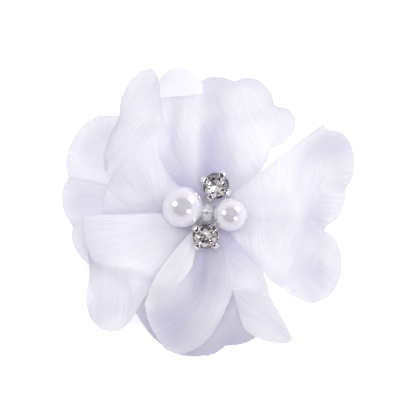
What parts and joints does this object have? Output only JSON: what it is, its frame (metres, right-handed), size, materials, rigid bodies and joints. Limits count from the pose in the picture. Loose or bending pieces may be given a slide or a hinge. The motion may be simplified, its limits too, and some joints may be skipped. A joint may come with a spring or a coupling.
{
  "type": "flower hair clip",
  "caption": "Pleated fabric flower with a pearl and stone centre on a sprung alligator hair clip that opens at a hinge.",
  "frame": {"origin": "on the flower's axis, at the flat underside of the clip's lower arm", "axes": "+Z out of the face of the flower; +Y along the clip to its toothed tip, -Y to the finger tabs; the hinge runs along X"},
  "size_m": [0.0513, 0.0504, 0.019],
  "materials": {
    "clip_steel": "polished",
    "spring_steel": "satin",
    "hot_glue": "satin",
    "felt": "matte",
    "chiffon": "sheer, pleated",
    "pearl": "pearlescent",
    "crystal": "polished",
    "claw_metal": "polished",
    "thread": "matte"
  },
  "bodies": {
    "lower_jaw": {"lower_arm": "clip_steel", "hinge_pin": "clip_steel", "torsion_spring": "spring_steel"},
    "upper_jaw": {"upper_arm": "clip_steel", "glue_pad": "hot_glue", "felt_backing": "felt", "flower_base": "chiffon", "petal_right": "chiffon", "petal_top": "chiffon", "petal_top_left": "chiffon", "petal_left_upper": "chiffon", "petal_left_back": "chiffon", "petal_left_front": "chiffon", "petal_left_lower": "chiffon", "petal_bottom_front": "chiffon", "petal_bottom_back": "chiffon", "petal_bottom_right": "chiffon", "pearl_large": "pearl", "pearl_small": "pearl", "bead_thread": "thread", "claw_setting_upper": "claw_metal", "rhinestone_upper": "crystal", "claw_setting_lower": "claw_metal", "rhinestone_lower": "crystal"}
  },
  "joints": [
    {"name": "jaw_hinge", "type": "hinge", "parent": "lower_jaw", "child": "upper_jaw", "pos_m": [0, -0.006, 0.0035], "axis": [1, 0, 0], "range_deg": [0, 30], "stiffness_Nm_per_rad": 0.01, "springref_deg": -57.3, "deforming": ["torsion_spring"]}
  ]
}
